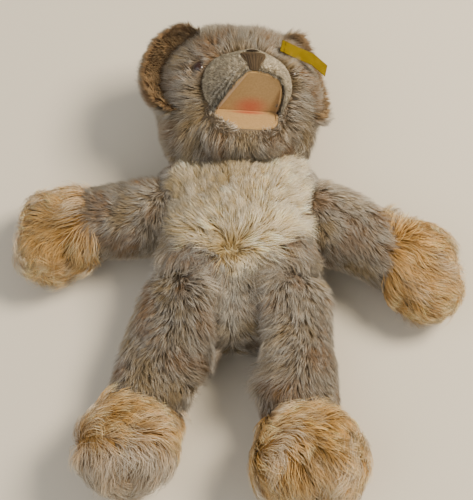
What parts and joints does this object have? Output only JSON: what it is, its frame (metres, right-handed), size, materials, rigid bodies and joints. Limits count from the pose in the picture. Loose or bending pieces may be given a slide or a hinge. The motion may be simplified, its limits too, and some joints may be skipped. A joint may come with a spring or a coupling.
{
  "type": "jointed teddy bear",
  "caption": "Jointed mohair teddy bear lying on its back, with turning head, arms and legs, open felt mouth, cream chest and long honey paws.",
  "frame": {"origin": "middle of the bear's bounding box, on the surface that its back rests on", "axes": "+Z out of the bear's front, +Y towards its head, +X towards its left side"},
  "size_m": [0.2576, 0.2782, 0.0996],
  "materials": {
    "grey_mohair": "taupe-grey mohair pile, 9 to 14 mm, rust at the roots",
    "cream_mohair": "cream mohair pile with straw roots",
    "honey_mohair": "long honey mohair pile",
    "clipped_beige_mohair": "mohair clipped short",
    "brown_ear_lining": "short brown mohair",
    "tan_felt": "wool felt",
    "worn_nose_thread": "worn cotton stitching",
    "brown_glass": "polished dark brown glass",
    "mustard_ribbon": "plain woven cotton ribbon",
    "mustard_thread": "cotton thread",
    "stuffing": "packed wood wool",
    "hardboard": "pressed board",
    "zinced_steel": "zinced",
    "steel_wire": "drawn wire"
  },
  "bodies": {
    "torso": {"torso_cover": "grey_mohair", "chest_panel": "cream_mohair", "torso_stuffing": "stuffing", "torso_discs": "hardboard", "torso_washers": "zinced_steel"},
    "head": {"head_cover": "grey_mohair", "muzzle_cover": "clipped_beige_mohair", "head_stuffing": "stuffing", "palate_felt": "tan_felt", "jaw_felt": "tan_felt", "nose_stitching": "worn_nose_thread", "eye_left": "brown_glass", "eye_right": "brown_glass", "eye_shanks": "steel_wire", "ear_back_left": "grey_mohair", "ear_back_right": "grey_mohair", "ear_lining_left": "brown_ear_lining", "ear_lining_right": "brown_ear_lining", "ear_tag": "mustard_ribbon", "tag_stitch": "mustard_thread", "neck_disc": "hardboard", "neck_washer": "zinced_steel", "neck_pin": "steel_wire"},
    "arm_left": {"arm_cover_left": "grey_mohair", "hand_cover_left": "honey_mohair", "paw_pad_left": "tan_felt", "arm_stuffing_left": "stuffing", "shoulder_disc_left": "hardboard", "shoulder_washer_left": "zinced_steel", "shoulder_pin_left": "steel_wire"},
    "leg_left": {"leg_cover_left": "grey_mohair", "foot_cover_left": "honey_mohair", "sole_left": "tan_felt", "leg_stuffing_left": "stuffing", "hip_disc_left": "hardboard", "hip_washer_left": "zinced_steel", "hip_pin_left": "steel_wire"},
    "arm_right": {"arm_cover_right": "grey_mohair", "hand_cover_right": "honey_mohair", "paw_pad_right": "tan_felt", "arm_stuffing_right": "stuffing", "shoulder_disc_right": "hardboard", "shoulder_washer_right": "zinced_steel", "shoulder_pin_right": "steel_wire"},
    "leg_right": {"leg_cover_right": "grey_mohair", "foot_cover_right": "honey_mohair", "sole_right": "tan_felt", "leg_stuffing_right": "stuffing", "hip_disc_right": "hardboard", "hip_washer_right": "zinced_steel", "hip_pin_right": "steel_wire"}
  },
  "joints": [
    {"name": "neck_swivel", "type": "hinge", "parent": "torso", "child": "head", "pos_m": [0, 0.05643, 0.033], "axis": [0, 1, 0], "continuous": true},
    {"name": "shoulder_left", "type": "hinge", "parent": "torso", "child": "arm_left", "pos_m": [0.043, 0.02643, 0.031], "axis": [-1, 0, 0], "continuous": true},
    {"name": "shoulder_right", "type": "hinge", "parent": "torso", "child": "arm_right", "pos_m": [-0.043, 0.02643, 0.031], "axis": [-1, 0, 0], "continuous": true},
    {"name": "hip_left", "type": "hinge", "parent": "torso", "child": "leg_left", "pos_m": [0.02, -0.03357, 0.03], "axis": [-1, 0, 0], "range_deg": [-10, 90]},
    {"name": "hip_right", "type": "hinge", "parent": "torso", "child": "leg_right", "pos_m": [-0.02, -0.03357, 0.03], "axis": [-1, 0, 0], "range_deg": [-10, 90]}
  ]
}
